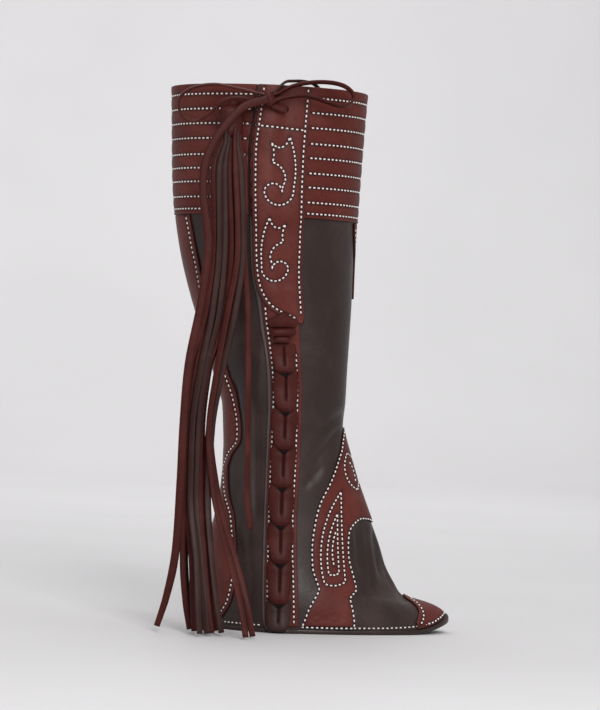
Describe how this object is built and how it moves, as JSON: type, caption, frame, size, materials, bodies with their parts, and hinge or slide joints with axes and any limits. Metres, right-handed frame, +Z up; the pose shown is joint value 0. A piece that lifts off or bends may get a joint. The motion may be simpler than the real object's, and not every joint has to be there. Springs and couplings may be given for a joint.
{
  "type": "calf gaiter",
  "caption": "Knee-high two-tone leather gaiter: a shaped tube over calf and foot, with a stitched cuff, scrolled overlays, a looped thong closure, a bow and a long fringe tassel.",
  "frame": {"origin": "on the floor under the middle of the gaiter's bounding box, hem resting at z = 0", "axes": "+Z up the leg, +X towards the toe, -Y is the outer side with the closure and the fringe"},
  "size_m": [0.2299, 0.1682, 0.4149],
  "materials": {
    "dark_leather": "smooth, half gloss",
    "oxblood_leather": "smooth, half gloss",
    "oxblood_thong": "soft, low gloss"
  },
  "bodies": {
    "root": {"front_panel": "dark_leather", "back_panel": "dark_leather", "front_binding": "dark_leather", "back_binding": "dark_leather", "front_cuff": "oxblood_leather", "back_cuff": "oxblood_leather", "heel_overlay": "oxblood_leather", "instep_overlay": "oxblood_leather", "toe_cap": "oxblood_leather", "front_stay": "oxblood_leather", "pull_strap": "oxblood_leather", "lace_strip": "oxblood_leather", "lace_tongue": "oxblood_thong", "lace_roll": "oxblood_thong", "lace_loop_1": "oxblood_thong", "lace_loop_2": "oxblood_thong", "lace_loop_3": "oxblood_thong", "lace_loop_4": "oxblood_thong", "lace_loop_5": "oxblood_thong", "lace_loop_6": "oxblood_thong", "lace_loop_7": "oxblood_thong", "lace_loop_8": "oxblood_thong", "bow": "oxblood_thong", "bow_tail": "oxblood_thong", "tassel": "oxblood_thong"}
  },
  "joints": []
}
